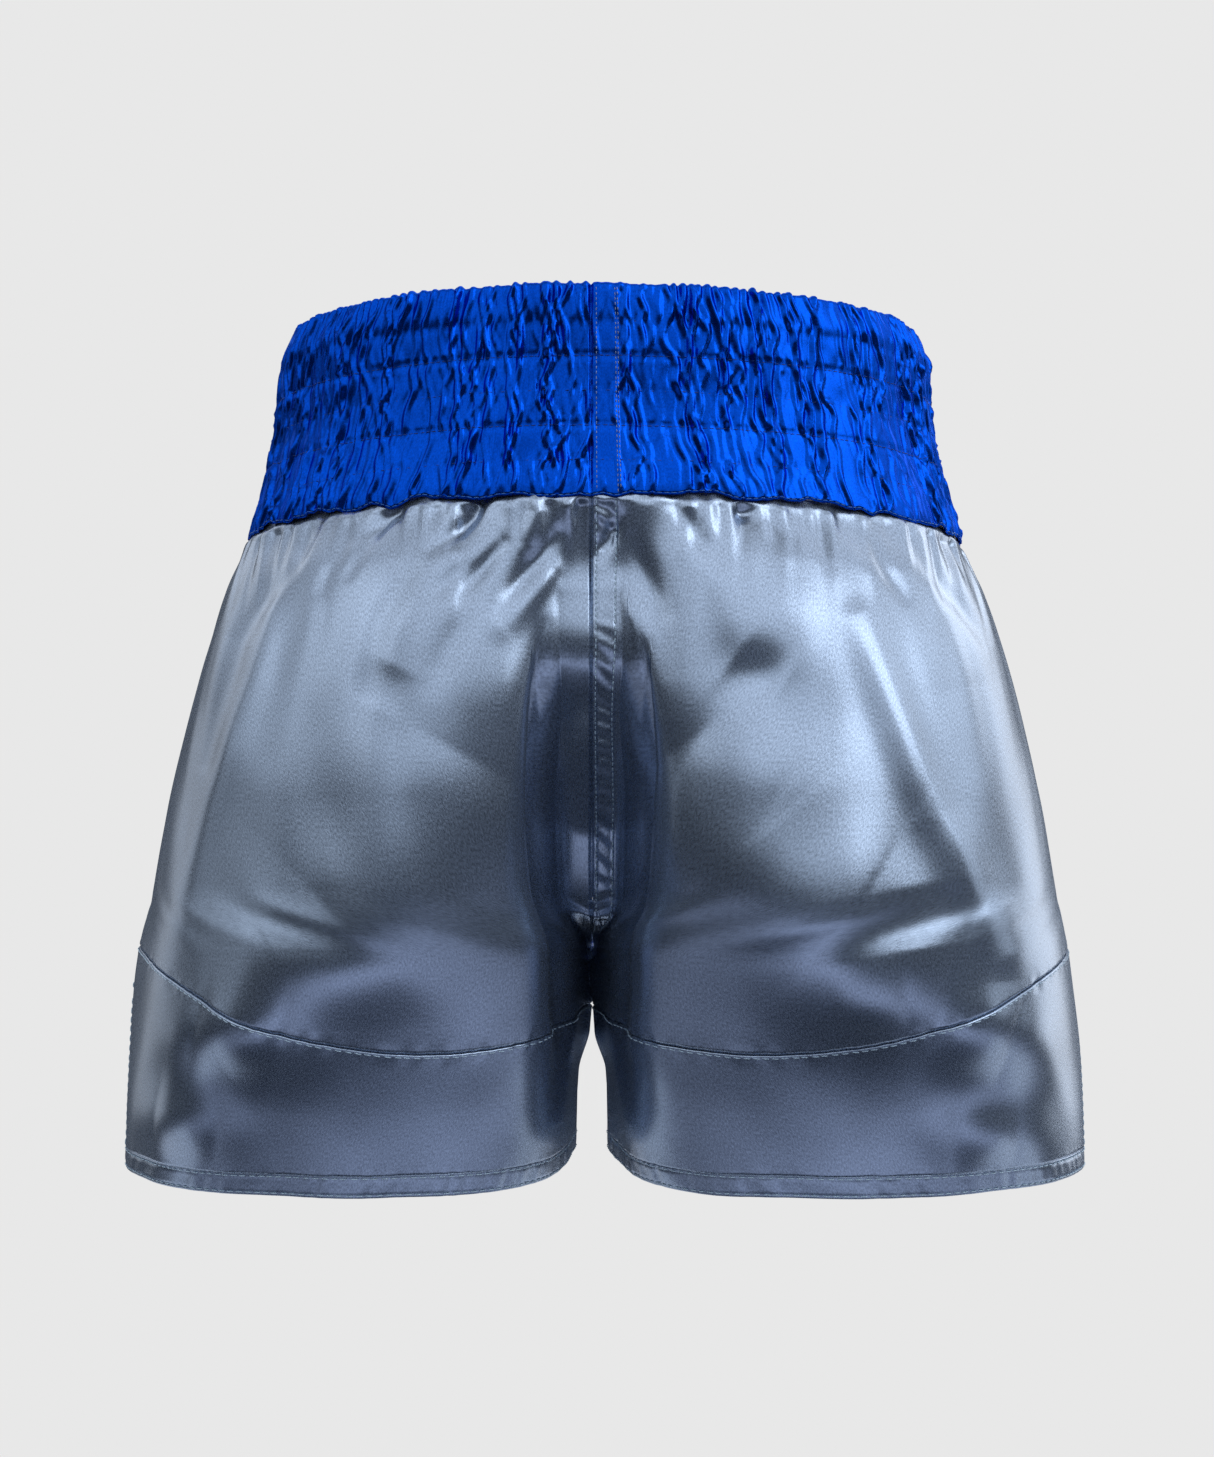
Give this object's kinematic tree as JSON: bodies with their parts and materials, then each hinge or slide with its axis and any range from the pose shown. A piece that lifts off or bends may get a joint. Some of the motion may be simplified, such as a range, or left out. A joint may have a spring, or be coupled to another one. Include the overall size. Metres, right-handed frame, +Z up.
{
  "type": "boxing shorts",
  "caption": "Wide satin boxing shorts with a gathered elastic waistband in stitched channels, curved hem seams and side slits.",
  "frame": {"origin": "middle of the waist opening, at the height of the top edge at the side seams", "axes": "+Z up, the front faces +Y and the back faces -Y, +X is the wearer's right"},
  "size_m": [0.41, 0.2591, 0.3708],
  "materials": {
    "waistband_satin": "gathered royal blue satin",
    "body_satin": "steel blue satin with a soft sheen",
    "elastic": "woven white elastic",
    "thread": "polyester sewing thread",
    "label": "blank woven label"
  },
  "bodies": {
    "root": {"waistband_casing_left": "waistband_satin", "waistband_casing_right": "waistband_satin", "elastic_band_1": "elastic", "elastic_band_2": "elastic", "elastic_band_3": "elastic", "elastic_band_4": "elastic", "elastic_band_5": "elastic", "elastic_band_6": "elastic", "drawcord_buttonhole_left": "thread", "drawcord_buttonhole_right": "thread", "back_panel_left": "body_satin", "back_panel_right": "body_satin", "front_panel_left": "body_satin", "front_panel_right": "body_satin", "crotch_gusset": "body_satin", "back_hem_panel_left": "body_satin", "back_hem_panel_right": "body_satin", "front_hem_panel_left": "body_satin", "front_hem_panel_right": "body_satin", "hem_binding_back_left": "body_satin", "hem_binding_back_right": "body_satin", "hem_binding_front_left": "body_satin", "hem_binding_front_right": "body_satin", "slit_binding_back_left": "body_satin", "slit_binding_back_right": "body_satin", "slit_binding_front_left": "body_satin", "slit_binding_front_right": "body_satin", "slit_bartack_left": "thread", "slit_bartack_right": "thread", "size_label": "label", "care_label": "label"}
  },
  "joints": []
}
